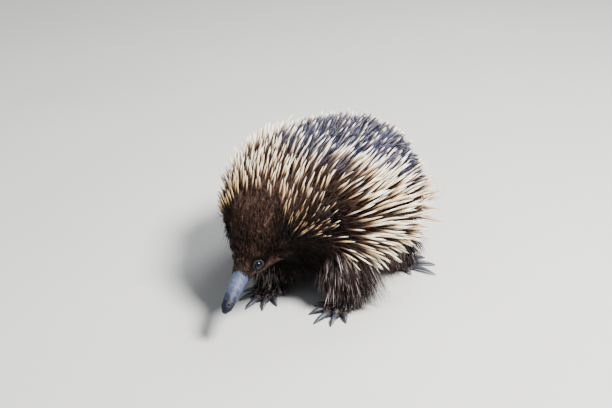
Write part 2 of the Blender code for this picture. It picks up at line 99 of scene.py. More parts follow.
class Tube:  # smooth tube through rows of (forward, left, height, half width, rise, drop), in millimetres
    def __init__(self, stations, upHint=(0, 0, 1)):
        rows = np.array(stations, float) * mm
        self.forward = rows[:, 0]
        self.rows = np.column_stack([rows[:, 1], -rows[:, 0], rows[:, 2:]])
        spans = np.linalg.norm(np.diff(self.rows[:, :3], axis=0), axis=1)
        self.marks = np.concatenate([[0.0], np.cumsum(spans)])
        self.length = float(self.marks[-1])
        self.slopes = np.gradient(self.rows, self.marks, axis=0)
        self.upHint = np.array(upHint, float)

    def row(self, along):
        along = np.clip(np.asarray(along, float), 0, self.length)
        k = np.clip(np.searchsorted(self.marks, along) - 1, 0, len(self.marks) - 2)
        span = (self.marks[k + 1] - self.marks[k])[..., None]
        t = (along - self.marks[k])[..., None] / span
        low, high = self.rows[k], self.rows[k + 1]
        leave, arrive = self.slopes[k] * span, self.slopes[k + 1] * span
        values = ((2 * t**3 - 3 * t**2 + 1) * low + (t**3 - 2 * t**2 + t) * leave
                  + (3 * t**2 - 2 * t**3) * high + (t**3 - t**2) * arrive)
        change = ((6 * t**2 - 6 * t) * (low - high) + (3 * t**2 - 4 * t + 1) * leave
                  + (3 * t**2 - 2 * t) * arrive) / span
        return values, change

    def along(self, forward):
        order = np.argsort(self.forward)
        return np.interp(np.asarray(forward, float) * mm, self.forward[order], self.marks[order])

    def place(self, along):  # millimetres forward of the middle
        return np.interp(along, self.marks, self.forward) / mm

    def points(self, along, angle, lift=0.0):  # angle 0 is the left side, a quarter turn the top
        values, change = self.row(along)
        ahead = unit(change[..., :3])
        side = unit(np.cross(np.broadcast_to(self.upHint, ahead.shape), ahead))
        up = np.cross(ahead, side)
        tall = np.where(np.sin(angle) > 0, values[..., 4], values[..., 5])
        return (values[..., :3] + side * (np.cos(angle) * (values[..., 3] + lift))[..., None]
                + up * (np.sin(angle) * (tall + lift))[..., None])

    def seats(self, along, angle, lift=None):  # surface points and their ahead, turn and out directions
        rise = lift or (lambda s, a: np.zeros_like(s))
        step = 0.6 * mm
        spot = lambda s, a: self.points(s, a, rise(s, a))
        ahead = unit(spot(along + step, angle) - spot(along - step, angle))
        turn = unit(spot(along, angle + 0.02) - spot(along, angle - 0.02))
        out = unit(np.cross(ahead, turn))
        inner = self.row(along)[0][..., :3]
        here = spot(along, angle)
        out = out * np.sign(np.sum(out * (here - inner), axis=-1, keepdims=True))
        return here, ahead, np.cross(out, ahead), out


# the animal's own sizes, in millimetres, as in the frame

body = {
    "trunk": (
        (-134, 0, 77, 14, 14, 13), (-128, 0, 80, 30, 29, 25), (-114, 0, 86, 51, 48, 36),
        (-88, 0, 92, 68, 62, 47), (-44, 0, 98, 83, 67, 55), (0, 0, 100, 86, 66, 57), (37, 0, 101, 84, 63, 55),
        (64, 2, 102, 76.5, 58, 51), (86, 6, 103, 64, 54, 45), (104, 10, 101, 51, 48, 37),
        (119, 13.5, 95, 37, 37, 31), (131, 15, 86, 26, 25.5, 22), (141, 17, 78, 18, 17.5, 15.5),
        (148, 18, 74, 13.2, 12.4, 11.4), (160, 21, 66.5, 9.4, 9, 8.4), (174, 25.4, 59, 8.4, 7.8, 7.3),
        (187, 30, 51.5, 7.3, 6.6, 6.2), (193, 32, 48, 6, 5.4, 5.1), (196.5, 33, 46, 3.3, 3, 3)),
    "tail": ((-134, 0, 77, 14, 14, 13), (-142, 0, 73, 12.5, 12, 11), (-154, 0, 66, 9.5, 9, 8),
             (-164, 0, 60, 6, 5.5, 5), (-168, 0, 57.5, 3, 2.8, 2.5)),
    "foreleg_left": ((32, 50, 92, 26, 24, 30), (42, 66, 64, 25, 24, 34), (47, 79, 38, 20, 19, 27),
                     (51, 83, 14, 15, 15, 17)),
    "foreleg_right": ((40, -46, 92, 26, 24, 30), (54, -40, 64, 24, 24, 30), (70, -20, 38, 19, 19, 24),
                      (80, -5, 14, 15, 15, 17)),
    "hindleg_left": ((-48, 50, 84, 34, 32, 34), (-54, 64, 54, 29, 27, 29), (-62, 71, 28, 20, 19, 20),
                     (-65, 72, 12, 15, 15, 15)),
    "hindleg_right": ((-66, -50, 84, 34, 32, 34), (-74, -66, 54, 29, 27, 29), (-84, -74, 28, 20, 19, 20),
                      (-88, -76, 12, 15, 15, 15)),
    "legSink": 4, "tailSink": 2,  # how far the skin lies inside the legs' and the tail's own rows
}
# forward, left and heading of each foot, and the heading, claw length and claw radius of its toes
foreToes = ((-54, 11, 2.6), (-26, 17, 3.2), (0, 20, 3.4), (26, 17, 3.2), (54, 11, 2.6))
hindToes = ((-58, 9, 2.4), (-29, 29, 3.0), (-3, 23, 2.9), (23, 17, 2.7), (50, 13, 2.4))
feet = {"forefoot_left": (54, 83, -4, foreToes), "forefoot_right": (84, -4, 4, foreToes),
        "hindfoot_left": (-69, 74, 132, hindToes), "hindfoot_right": (-92, -78, -138, hindToes)}
foot = {"length": 34, "halfWidth": 15.5, "toeLength": 9, "toeRadius": 4.4, "bareWithin": 46}
eye = {"radius": 4.9, "forward": 142, "angle": 17, "sink": 1.4}
ear = {"forward": 78, "angle": 20, "half": (4.4, 10.5, 6.5), "cup": 5}
coat = {  # how far the coat's tips stand off the trunk, by place forward of the middle
    "at": (-134, -110, -60, 0, 60, 95, 112, 130, 145),
    "belly": (4, 4, 4, 4, 4, 4, 3, 1, 0),
    "flank": (24, 44, 58, 50, 30, 13, 6, 2, 0),
    "top": (17, 20, 21, 24, 25, 18, 10, 3, 0),
    "angles": (-44, -16, 42),
    "core": 0.42, "lowest": -20, "aheadTo": 115,  # the core's share of that height, and where spines stand
    "furDepth": 9,
}

trunk = Tube(body["trunk"])
tail = Tube(body["tail"])
legs = {name: Tube(body[name], (0, -1, 0)) for name in body if "leg_" in name}


def turnOf(angle):  # degrees above the widest line, the same on both sides
    return np.degrees(np.arcsin(np.clip(np.sin(angle), -1, 1)))


def whereOn(along, angle):  # the place and turn on the trunk
    return trunk.place(along), turnOf(angle)


def coatReach(along, angle):
    place, turn = whereOn(along, angle)
    belly, flank, top = (np.interp(place, coat["at"], coat[k]) for k in ("belly", "flank", "top"))
    first, middle, last = coat["angles"]
    low = np.clip((turn - first) / (middle - first), 0, 1)
    high = np.clip((turn - middle) / (last - middle), 0, 1)
    return (belly + (flank - belly) * low + (top - flank) * high) * mm


def coreLift(along, angle):
    place, turn = whereOn(along, angle)
    spined = np.interp(turn, (coat["lowest"] - 20, coat["lowest"]), (0, 1))
    spined = spined * np.interp(place, (coat["aheadTo"] - 10, coat["aheadTo"] + 10), (1, 0))
    return coatReach(along, angle) * (1 - spined * (1 - coat["core"]))


def skinLift(along, angle):  # the skin lies a fur's depth inside the core
    return np.clip(coreLift(along, angle) - coat["furDepth"] * mm, 0, None)


def faceEdge(turn):  # where the fur ends on the beak, with a bare tongue up its bridge
    return 158.5 - 10.5 * ramp(turn, 58, 84)


def trunkSeat(forward, degrees, side, lift=None):  # one seat on the trunk: here, ahead, turn and out
    seats = trunk.seats(np.array([trunk.along(forward)]), np.array([onSide(degrees, side)]), lift)
    return [v[0] for v in seats]


def eyeSeat(side):
    return trunkSeat(eye["forward"], eye["angle"], side)


def nearest(points):  # place and turn on the trunk of any points
    alongs = np.linspace(0, trunk.length, 240)
    centres = trunk.row(alongs)[0][:, :3]
    k = np.array([np.argmin(np.linalg.norm(centres - p, axis=1)) for p in points])
    offset = points - centres[k]
    across = np.linalg.norm(offset[:, :2], axis=1)
    return trunk.place(alongs[k]), np.degrees(np.arctan2(offset[:, 2], across))


here, _, _, out = eyeSeat("left")
low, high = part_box("eye_left")
shift = np.array((low + high) / 2) - (here - out * eye["sink"] * mm)  # the frame stands centred on its box
shift[2] = 0
for tube in (trunk, tail, *legs.values()):
    tube.rows[:, :3] += shift
print("frame loaded, shift", shift)


# meshes

def newPiece(name, bm, smooth=True):
    bmesh.ops.recalc_face_normals(bm, faces=bm.faces)
    mesh = bpy.data.meshes.new(name)
    bm.to_mesh(mesh)
    bm.free()
    piece = bpy.data.objects.new(name, mesh)
    bpy.context.scene.collection.objects.link(piece)
    if smooth:
        mesh.shade_smooth()
    return piece


def settle(piece, slot, *nodes):
    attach(piece, "root")
    if nodes:
        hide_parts(*nodes)


def tubeMesh(tube, alongs, around, lift=0.0, steps=()):
    # a grid rolled round the tube, its ends closed; steps are the rings that round its tip
    alongs = np.array(list(alongs) + [alongs[-1]] * len(steps))
    bm = bmesh.new()
    bmesh.ops.create_grid(bm, x_segments=len(alongs) - 1, y_segments=around, size=0.5)
    grid = spotsOf(bm.verts)[:, :2] + 0.5
    ring = np.rint(grid[:, 0] * (len(alongs) - 1)).astype(int)
    angle = np.rint(grid[:, 1] * around) % around * tau / around
    along = alongs[ring]
    spots = tube.points(along, angle, lift(along, angle) if callable(lift) else lift)
    if steps:
        width, reach = np.array([(1, 0)] * (len(alongs) - len(steps)) + list(steps)).T[:, ring]
        values, change = tube.row(along)
        spots = values[:, :3] + (spots - values[:, :3]) * width[:, None]
        spots = spots + unit(change[:, :3]) * (reach * mm)[:, None]
    for vert, spot in zip(bm.verts, spots):
        vert.co = spot
    bmesh.ops.remove_doubles(bm, verts=bm.verts, dist=1e-6)
    bmesh.ops.holes_fill(bm, edges=[e for e in bm.edges if e.is_boundary])
    bmesh.ops.recalc_face_normals(bm, faces=bm.faces)
    return bm


rounded = ((0.93, 0.5), (0.78, 1.1), (0.52, 1.6), (0.22, 1.9))  # share of the width, and reach in millimetres


def footMatrix(name):
    forward, left, heading, _ = feet[name]
    spot = Vector((left * mm + shift[0], -forward * mm + shift[1], 0))
    return Matrix.Translation(spot) @ Matrix.Rotation(math.radians(heading), 4, "Z")


def palmTube():
    half, wide = foot["length"] / 2, foot["halfWidth"]
    return Tube(((-half, 0, 9, wide * 0.5, 7, 12), (-half * 0.6, 0, 10, wide * 0.8, 10, 13),
                 (0, 0, 9, wide, 9, 12), (half * 0.7, 0, 7, wide * 0.95, 6, 10),
                 (half, 0, 6, wide * 0.7, 4, 9)))


def toeTubes(name, spread, claw, radius):
    turn = footMatrix(name) @ Matrix.Rotation(math.radians(spread), 4, "Z")
    reach, r, long = foot["length"] / 2 - 4 * abs(spread) / 45, foot["toeRadius"], foot["toeLength"]
    toe = Tube(((reach - 9, 0, 5, r * 0.9, 4.4, 7), (reach, 0, 5.4, r, 4.4, 7),
                (reach + long - 4, 0, 5, r * 0.92, 4, 7), (reach + long, 0, 5, radius * 1.1, 3.3, 4.6)))
    end = reach + long - 1.2
    nail = Tube(((end, 0, 5, radius * 0.92, 2.7, 2.5), (end + claw * 0.3, 0, 5.2, radius * 0.95, 2.4, 2.2),
                 (end + claw * 0.6, 0, 4.6, radius * 0.8, 1.9, 1.7),
                 (end + claw * 0.85, 0, 3.0, radius * 0.5, 1.2, 1.1),
                 (end + claw + 1, 0, 1.4, radius * 0.2, 0.6, 0.5)))
    return turn, toe, nail


def joinSolids(base, others):
    tools = bpy.data.collections.new("tools")
    bpy.context.scene.collection.children.link(tools)
    for other in others:
        other.users_collection[0].objects.unlink(other)
        tools.objects.link(other)
    step = base.modifiers.new("join", "BOOLEAN")
    step.operation, step.solver = "UNION", "MANIFOLD"
    step.operand_type, step.collection = "COLLECTION", tools
    mesh = bpy.data.meshes.new_from_object(base.evaluated_get(bpy.context.evaluated_depsgraph_get()))
    base.modifiers.clear()
    base.data = mesh
    for other in others:
        bpy.data.objects.remove(other)
    bpy.data.collections.remove(tools)


# skin

beak = {
    "around": 80, "from": 138, "bodyStep": 2.6, "beakStep": 0.7,  # the skin's rings, closer from there on
    "nostrilForward": 191, "nostrilAngle": 58, "nostril": (1.5, 0.75, 1.2), "nostrilDepth": 1.5,
    "mouthForward": 192, "mouthDrop": 1.4, "mouthBack": -9, "mouthHalf": 0.42, "mouthDepth": 0.55,
}


def makeSkin():
    fine = trunk.along(beak["from"])
    alongs = list(np.arange(0, fine, beak["bodyStep"] * mm))
    alongs += list(np.arange(fine, trunk.length, beak["beakStep"] * mm)) + [trunk.length]
    skin = newPiece("skin", tubeMesh(trunk, alongs, beak["around"], skinLift, rounded))
    bm = tubeMesh(tail, np.linspace(0, tail.length, 14), 28, -body["tailSink"] * mm, rounded)
    others = [newPiece("tail", bm)]
    for name, tube in legs.items():
        bm = tubeMesh(tube, np.linspace(0, tube.length, 26), 36, -body["legSink"] * mm)
        others.append(newPiece(name, bm))
    palm = palmTube()
    for name in feet:
        bm = tubeMesh(palm, np.linspace(0, palm.length, 16), 30)
        bm.transform(footMatrix(name))
        parts = [bm]
        for spread, claw, radius in feet[name][3]:
            turn, toe, _ = toeTubes(name, spread, claw, radius)
            steps = ((0.9, 0.5), (0.7, 0.9), (0.35, 1.2))
            parts.append(tubeMesh(toe, np.linspace(0, toe.length, 9), 18, 0.0, steps))
            parts[-1].transform(turn)
        for part in parts:
            cut = bmesh.ops.bisect_plane(part, geom=part.verts[:] + part.edges[:] + part.faces[:],
                                         plane_co=(0, 0, 0.0001), plane_no=(0, 0, -1), clear_outer=True)
            edges = [e for e in cut["geom_cut"] if isinstance(e, bmesh.types.BMEdge)]
            bmesh.ops.holes_fill(part, edges=edges)
            others.append(newPiece(name, part))
    for side in sides:
        spot, ahead, turn, out = trunkSeat(ear["forward"], ear["angle"], side, skinLift)
        bm = bmesh.new()
        bmesh.ops.create_uvsphere(bm, u_segments=32, v_segments=20, radius=1)
        for vert in bm.verts:  # an upright cup with a slit down its middle
            x, y, z = vert.co
            cupped = max(0, 1 - (x / 0.45) ** 2) * max(0, 1 - (y / 0.75) ** 2) if z > 0 else 0
            wide, tall, deep = ear["half"]
            rise = z * deep - cupped * ear["cup"]
            vert.co = Vector(spot + (ahead * x * wide + turn * y * tall + out * rise) * mm)
        others.append(newPiece("ear", bm))
    joinSolids(skin, others)
    bm = bmesh.new()
    bm.from_mesh(skin.data)
    bmesh.ops.triangulate(bm, faces=[f for f in bm.faces if len(f.verts) > 4])
    nostrils = [trunkSeat(beak["nostrilForward"], beak["nostrilAngle"], side)[0] for side in sides]
    tipValues, tipChange = trunk.row(trunk.along(beak["mouthForward"]))
    ahead = unit(tipChange[:3])
    across = unit(np.cross((0, 0, 1), ahead))
    axes = np.array((ahead, across, np.cross(ahead, across)))
    mouth = tipValues[:3] - axes[2] * beak["mouthDrop"] * mm
    back = beak["mouthBack"]
    for vert in bm.verts:  # nostrils and the line of the mouth
        x, y, z = axes @ (np.array(vert.co) - mouth) / mm
        if math.hypot(x, y, z) > 30:
            continue
        dent = 0
        for spot in nostrils:
            far = axes @ (np.array(vert.co) - spot) / mm / beak["nostril"]
            dent += beak["nostrilDepth"] * math.exp(-far @ far)
        if x > back and abs(y) > 1.5:
            line = math.exp(-(z / beak["mouthHalf"]) ** 2)
            dent += beak["mouthDepth"] * line * float(ramp(x, back, back + 4))
        vert.co -= vert.normal * dent * mm
    bm.to_mesh(skin.data)
    bm.free()
    skin.data.shade_smooth()
    settle(skin, "bare_skin", "rump", "back", "shoulders", "neck", "head", "beak", "tail",
           "ear_left", "ear_right", *legs, *feet)
    return skin


skin = makeSkin()
print("skin", len(skin.data.polygons), "faces")


# eyes and lids

lids = {"ring": 5.4, "wide": 1.15, "fold": 1.15, "stretch": (1.12, 0.94), "sink": 0.9}


def makeEyes():
    for side in sides:
        spot, ahead, turn, out = eyeSeat(side)
        seat = Matrix.Translation(spot) @ Matrix((ahead, turn, out)).transposed().to_4x4()
        bm = bmesh.new()
        bmesh.ops.create_uvsphere(bm, u_segments=40, v_segments=24, radius=eye["radius"] * mm,
                                  matrix=seat @ Matrix.Translation((0, 0, -eye["sink"] * mm)))
        ball = newPiece("eye" + side.title(), bm)
        offset = spotsOf(ball.data.vertices) - (spot - out * eye["sink"] * mm)
        offset = offset - np.outer(offset @ out, out)
        mark(ball.data, "ring", np.linalg.norm(offset, axis=1) / (eye["radius"] * mm))
        settle(ball, "eye", "eye_" + side)
        bm = bmesh.new()  # lids: a section spun round the eye, drawn out to its corners
        ring, wide, fold = (lids[key] * mm for key in ("ring", "wide", "fold"))
        section = [bm.verts.new((math.cos(a) * wide + ring, 0, math.sin(a) * fold))
                   for a in np.linspace(0, tau, 13)[:-1]]
        edges = [bm.edges.new((section[k - 1], section[k])) for k in range(len(section))]
        bmesh.ops.spin(bm, geom=section + edges, cent=(0, 0, 0), axis=(0, 0, 1), angle=tau, steps=48,
                       use_merge=True)
        bmesh.ops.remove_doubles(bm, verts=bm.verts, dist=1e-6)
        long, tall = lids["stretch"]
        rim = [math.hypot(vert.co.x, vert.co.y) for vert in bm.verts]
        for vert in bm.verts:
            around = math.atan2(vert.co.y, vert.co.x)
            vert.co.x *= long
            vert.co.y *= tall
            vert.co.z += (0.35 * math.cos(2 * around) - lids["sink"] + 0.12 * math.sin(9 * around)) * mm
        bm.transform(seat)
        lid = newPiece("lids" + side.title(), bm)
        mark(lid.data, "rim", 1 - ramp(rim, ring - wide + 0.9 * mm, ring + 0.1 * mm))
        settle(lid, "bare_skin")
        yield ball, lid


eyePieces = list(makeEyes())
print("eyes")


# claws

offFloor = 0.4 * mm  # how far claws and hair stay off the floor


def makeClaws():
    for name in feet:
        whole = bmesh.new()
        for spread, claw, radius in feet[name][3]:
            turn, _, nail = toeTubes(name, spread, claw, radius)
            bm = tubeMesh(nail, np.linspace(0, nail.length, 16), 16, 0.0, ((0.7, 0.2), (0.3, 0.35)))
            for vert in bm.verts:  # the low side a little higher
                if vert.co.z < 3 * mm:
                    vert.co.z += 0.12 * mm
            bm.transform(turn)
            mesh = bpy.data.meshes.new("claw")
            bm.to_mesh(mesh)
            bm.free()
            whole.from_mesh(mesh)
            bpy.data.meshes.remove(mesh)
        for vert in whole.verts:
            vert.co.z = max(vert.co.z, offFloor)
        piece = newPiece("claws_" + name, whole)
        settle(piece, "claw", *[f"{name}_claw_{n}" for n in range(1, 6)])
        yield piece


clawPieces = list(makeClaws())
print("claws")


# coat: many hairs or spines as one mesh

skinBm = bmesh.new()
skinBm.from_mesh(skin.data)
skinTree = BVHTree.FromBMesh(skinBm)
skinBm.free()


def onSkin(spots, within=1.3):  # which spots lie on the skin, and not inside a limb or another part
    return np.array([skinTree.find_nearest(Vector(p))[3] < within * mm for p in spots], bool)


rooted = 0.04  # the share of a hair's length that starts inside the skin


def bladeShape(profile, corners):  # one closed hair, from (share of length, share of width) pairs to a tip
    bm = bmesh.new()
    bmesh.ops.create_cone(bm, cap_ends=True, segments=corners, radius1=1, radius2=0, depth=1,
                          matrix=Matrix.Translation((0, 0, 0.5)))
    bmesh.ops.remove_doubles(bm, verts=bm.verts, dist=1e-5)
    for t, _ in profile[1:]:
        bmesh.ops.bisect_plane(bm, geom=bm.verts[:] + bm.edges[:] + bm.faces[:], plane_co=(0, 0, t),
                               plane_no=(0, 0, 1))
    shares, widths = zip(*profile)
    for vert in bm.verts:
        wide = np.interp(vert.co.z, shares, widths) / max(1 - vert.co.z, 1e-6)
        vert.co.x, vert.co.y = vert.co.x * wide, vert.co.y * wide
    bmesh.ops.recalc_face_normals(bm, faces=bm.faces)
    shape = {"points": spotsOf(bm.verts), "faces": [[v.index for v in f.verts] for f in bm.faces]}
    bm.free()
    return shape


def growHairs(name, shape, hairs, colour, slot):  # one mesh with a bent and tinted copy of the shape for each
    root, aim, flat, length, width, thick, sag = (
        hairs[key][:, None] for key in ("root", "aim", "flat", "length", "width", "thick", "sag"))
    points, faces, count = shape["points"], shape["faces"], len(root)
    t = points[:, 2] - rooted
    flat = unit(np.cross(aim, np.cross(flat, aim)))
    over = np.cross(aim, flat)
    verts = (root + aim * (length * t)[..., None] + sag * (np.clip(t, 0, 1) ** 2)[None, :, None]
             + flat * (width * points[:, 0])[..., None] + over * (thick * points[:, 1])[..., None])
    verts[..., 2] = np.maximum(verts[..., 2], offFloor)
    colours = np.ones((count, len(points), 4))
    for k, share in enumerate(t):
        colours[:, k, :3] = colour(share, hairs)
    patch = np.column_stack([points[:, 0] * 0.0012, t * 0.0026 - 0.0013])  # each hair's own bit of the unwrap
    uv = hairs["patch"][:, None] + patch[None]
    loops = np.concatenate([np.array(f) for f in faces])
    starts = np.cumsum([0] + [len(f) for f in faces[:-1]])
    allLoops = (loops[None, :] + (np.arange(count) * len(points))[:, None]).ravel()
    allStarts = (starts[None, :] + (np.arange(count) * len(loops))[:, None]).ravel()
    mesh = bpy.data.meshes.new(name)
    for data, key, values, kind in ((mesh.vertices, "co", verts.reshape(-1, 3), np.float32),
                                    (mesh.loops, "vertex_index", allLoops, np.int32),
                                    (mesh.polygons, "loop_start", allStarts, np.int32)):
        data.add(len(values))
        data.foreach_set(key, values.astype(kind).ravel())
    mesh.update(calc_edges=True)
    uv = uv.reshape(-1, 2)[allLoops].astype(np.float32)
    mesh.uv_layers.new(name="OFBake").data.foreach_set("uv", uv.ravel())
    mark(mesh, "tint", colours, "FLOAT_COLOR")
    mesh.shade_smooth()
    piece = bpy.data.objects.new(name, mesh)
    bpy.context.scene.collection.objects.link(piece)
    settle(piece, slot)
    coatPieces.append(piece)
    print(name, count, "hairs,", count * sum(len(f) - 2 for f in faces), "triangles")


coatPieces = []


def growMany(name, shape, hairs, colour, slot, most=190000):  # split along the body where a mesh gets big
    each = sum(len(f) - 2 for f in shape["faces"])
    parts = max(1, math.ceil(len(hairs["root"]) * each / most))
    for k, chosen in enumerate(np.array_split(np.argsort(hairs["root"][:, 1]), parts)):
        label = f"{name}_{k + 1}" if parts > 1 else name
        growHairs(label, shape, {key: value[chosen] for key, value in hairs.items()}, colour, slot)


def scatter(tube, spacing, low, high, lift, wanted, widest=0.14):
    # even over the surface, thinned by wanted(along, angle); widest is the most surface per metre and radian
    tries = int((high - low) * tau * widest / (spacing * mm) ** 2)
    along = low + (high - low) * dice.random(tries)
    angle = tau * dice.random(tries)
    spot = lambda s, a: tube.points(s, a, lift(s, a))
    here = spot(along, angle)
    cross = np.cross(spot(along + mm, angle) - here, spot(along, angle + 0.02) - here)
    area = np.linalg.norm(cross, axis=1) / mm / 0.02
    keep = dice.random(tries) < area / widest * wanted(along, angle)
    return along[keep], angle[keep]


def thin(points, gap):  # drops points nearer to a kept one than their gap, in millimetres
    kept = []
    for k in dice.permutation(len(points)):
        if not kept or np.min(np.linalg.norm(points[kept] - points[k], axis=1)) > gap[k] * mm:
            kept.append(k)
    return np.array(kept)


def wave(points, size, seed):  # smooth noise of about -1 to 1, size in millimetres
    own = np.random.default_rng(seed)
    total = 0
    for _ in range(6):
        direction = unit(own.normal(size=3)) * tau / (size * mm) * own.uniform(0.6, 1.5)
        total = total + np.sin(points @ direction + own.uniform(0, tau))
    return total / 2.6


def patchOf(tube, along, angle, box):  # a hair's place on an unwrap of the body
    u0, v0, u1, v1 = box
    return np.column_stack([u0 + (u1 - u0) * (angle / tau % 1), v0 + (v1 - v0) * along / tube.length])


unwrap = {"trunk": (0.01, 0.01, 0.60, 0.99), "tail": (0.62, 0.86, 0.75, 0.99),
          "foreleg_left": (0.62, 0.01, 0.79, 0.40), "foreleg_right": (0.81, 0.01, 0.99, 0.40),
          "hindleg_left": (0.62, 0.43, 0.79, 0.82), "hindleg_right": (0.81, 0.43, 0.99, 0.82),
          "feet": (0.78, 0.86, 0.99, 0.99)}
down = np.array((0.0, 0.0, -1.0))


def aimOf(ahead, out, turn, lean, aside):  # back along the body, up off the skin by lean, turned aside
    lie = -ahead * np.cos(aside)[:, None] - turn * np.sin(aside)[:, None]
    return unit(lie * np.cos(lean)[:, None] + out * np.sin(lean)[:, None])


def lin(colour):  # a display colour of 0 to 255 as the shaders take it
    return (np.array(colour) / 255) ** 2.2


hue = {
    # the dome's dark fur carries a painted blue cast of sky reflection, and its pale bluish tips are painted
    # sheen
    "dome": (38, 37, 53), "domeSheenTip": (86, 86, 118), "flank": (46, 33, 28), "flankTip": (88, 66, 56),
    # the skirt's lighter tips are partly real brown, partly a painted silvery highlight
    "nape": (58, 43, 39), "napeTip": (112, 86, 76), "skirt": (52, 38, 33), "skirtTip": (146, 118, 106),
    # the cheek colours are painted shade: near-black fur for the shaded lower cheek and the underside of the
    # head
    "face": (31, 22, 18), "faceTip": (101, 77, 67), "cheek": (5, 3, 3), "cheekTip": (22, 16, 13),
    # the pale tips of the leg hairs are a painted silvery highlight
    "rust": (164, 128, 112), "gap": (6, 4, 4), "leg": (15, 11, 10), "legHighlightTip": (184, 166, 166),
    "belly": (74, 57, 46), "bellyTip": (126, 102, 84), "spine": (232, 206, 152),
    # the spines' pale colour is partly their own, partly whitened as a painted highlight
    "spinePale": (255, 253, 242), "spineRoot": (138, 96, 62), "spineTip": (44, 37, 40),
    # the near-white dome spines are partly their own pale colour, partly a painted highlight
    "spineGold": (194, 158, 110), "spineDome": (246, 246, 244), "beak": (67, 78, 110),
    "beakDark": (6, 9, 27), "beakWarm": (112, 110, 116), "sole": (58, 52, 54), "claw": (62, 66, 78),
    # the eye's faint pale ring is a painted reflection
    "eye": (5, 6, 9), "ringReflection": (22, 24, 34), "lid": (14, 13, 17), "lidPale": (52, 52, 64),
}
hue = {name: lin(colour) for name, colour in hue.items()}
eyeSpots = [eyeSeat(side)[0] for side in sides]


def farFrom(points, spots):  # how far the nearest spot is, in millimetres
    return np.min([np.linalg.norm(points - spot, axis=1) for spot in spots], axis=0) / mm


def regions(place, turn):  # shares of the dome, the nape, the cheek and the gap behind it, where near-black painted shade goes
    edge = np.interp(place, (-90, -30, 0, 40), (2, 16, 28, 40))
    front = np.interp(turn, (40, 85), (14, 38))
    dome = ramp(turn - edge, 0, 24) * fall(place - front, 0, 38) * ramp(place, -132, -104)
    nape = ramp(place, 52, 78)
    cheek = ramp(place, 78, 96) * fall(turn, 28, 60)
    # painted shade: near-black fur in the gap behind the cheek, round the ear
    gap = 1 - ramp(((place - 75) / 8) ** 2 + ((turn - 9) / 20) ** 2, 0.55, 1.25)
    return dome, nape, cheek, gap


def furColours(points, place, turn):  # the coat's root and tip colours, the same for skin and fur
    dome, nape, _, gap = regions(place, turn)
    face = ramp(place, 92, 118)
    # painted shade: the lower cheek, the underside of the head and the throat turn near black
    chinShade = ramp(place, 70, 90) * fall(turn, 26, 54) * fall(place, 118, 138)
    chinShade = np.maximum(chinShade, ramp(place, 84, 108) * ramp(-turn, 14, 34))
    low, under = ramp(-turn, 8, 26), ramp(-turn, 44, 62)
    rust = ramp(place, 126, 136) * fall(place, 146, 156) * ramp(-turn, -8, 4) * fall(-turn, 18, 36)
    # on the dome: a painted blue cast of sky reflection on the dark fur, and pale bluish tips of painted
    # sheen
    root, tip = blend(hue["flank"], hue["dome"], dome), blend(hue["flankTip"], hue["domeSheenTip"], dome)
    # the face fur's lighter tips are partly its real streaks, partly a painted sheen
    for name, share in (("nape", nape), ("skirt", low * (1 - nape)), ("belly", under), ("face", face),
                        ("cheek", 0.9 * chinShade), ("gap", gap)):
        root, tip = blend(root, hue[name], share), blend(tip, hue.get(name + "Tip", hue[name] * 1.7), share)
    root, tip = blend(root, hue["rust"] * 0.6, 0.8 * rust), blend(tip, hue["rust"], 0.95 * rust)
    socket = 0.85 * fall(farFrom(points, eyeSpots), 6.5, 11)
    root, tip = blend(root, hue["gap"], socket), blend(tip, hue["gap"] * 1.5, socket)
    patchy = 0.5 + 0.35 * wave(points, 38, 3) + 0.3 * wave(points, 11, 4) * (1 - 0.7 * face)
    patchy = 0.7 + 0.55 * np.clip(patchy, 0, 1)[..., None]
    return root * patchy, tip * patchy


# spines, and the depth of the fur that they stand in

fur = {  # height of the fur's top over the skin, by place forward of the middle
    "at": (-134, -110, -60, 0, 50, 75, 95, 112, 130, 150),
    "top": (12, 15, 20, 22, 20, 14, 10, 7, 4.5, 2.5),
    "side": (13, 15, 16, 15, 12, 9, 7.5, 6, 4, 2.5),
    "back": {"spacing": 1.5, "lean": 50, "width": 0.5, "thick": 0.24},
    "skirt": {"spacing": 1.75, "lean": 28, "width": 0.62, "thick": 0.26},
    "face": {"spacing": 1.0, "lean": 17, "width": 0.46, "thick": 0.2},
    "leg": {"spacing": 1.6, "lean": 18, "width": 0.74, "thick": 0.34},
    "foot": {"spacing": 1.3, "length": (4, 9), "lean": 22, "width": 0.4, "thick": 0.2},
    "eyeClear": 6.6,
}


def furHeight(place, turn):
    top, side = (np.interp(place, fur["at"], fur[k]) for k in ("top", "side"))
    return (side + (top - side) * ramp(turn, 15, 60)) * mm


spines = {  # for the flank, the dome, the nape and the cheek; shown is the length beyond the fur
    "gap": (4.8, 11.2, 5.1, 4.0), "radius": (1.2, 1.6, 0.96, 0.54), "lean": (34, 44, 44, 27),
    "shown": ((18, 32), (6, 11), (11, 20), (8, 13)),
    "napeSide": ((10, 50, 90), (-20, -12, 0)),  # how much flatter the nape's lie beside its middle
    "rearGap": 3.8, "rearShown": 6, "rearFlatter": 8, "stubUp": 28,  # what changes towards the tail
    "spacing": 2, "from": -131, "to": 116, "wander": 6.5, "sag": 0.04, "earClear": 11,
    "lowest": ((-120, -40, 20, 70, 92, 112), (-34, -30, -30, -22, -6, 8)),
    "crownEnd": ((0, 40, 90), (117, 112, 102)),
    "droop": ((-35, -25, -12, 5, 35, 60, 90), (34, 26, 2, -13, -15, -6, 0)),
    "napeDroop": ((-30, -12, 0, 30, 60, 90), (20, -8, -34, -48, -30, 0)),
}
spineShape = bladeShape(((0, 0.5), (0.4, 0.72), (0.55, 0.92), (0.68, 1.0), (0.8, 0.9), (0.9, 0.6),
                         (0.965, 0.26)), 6)
earSpots = trunk.points(trunk.along(np.full(2, ear["forward"])),
                        np.array([onSide(ear["angle"], side) for side in sides]), 2 * mm)


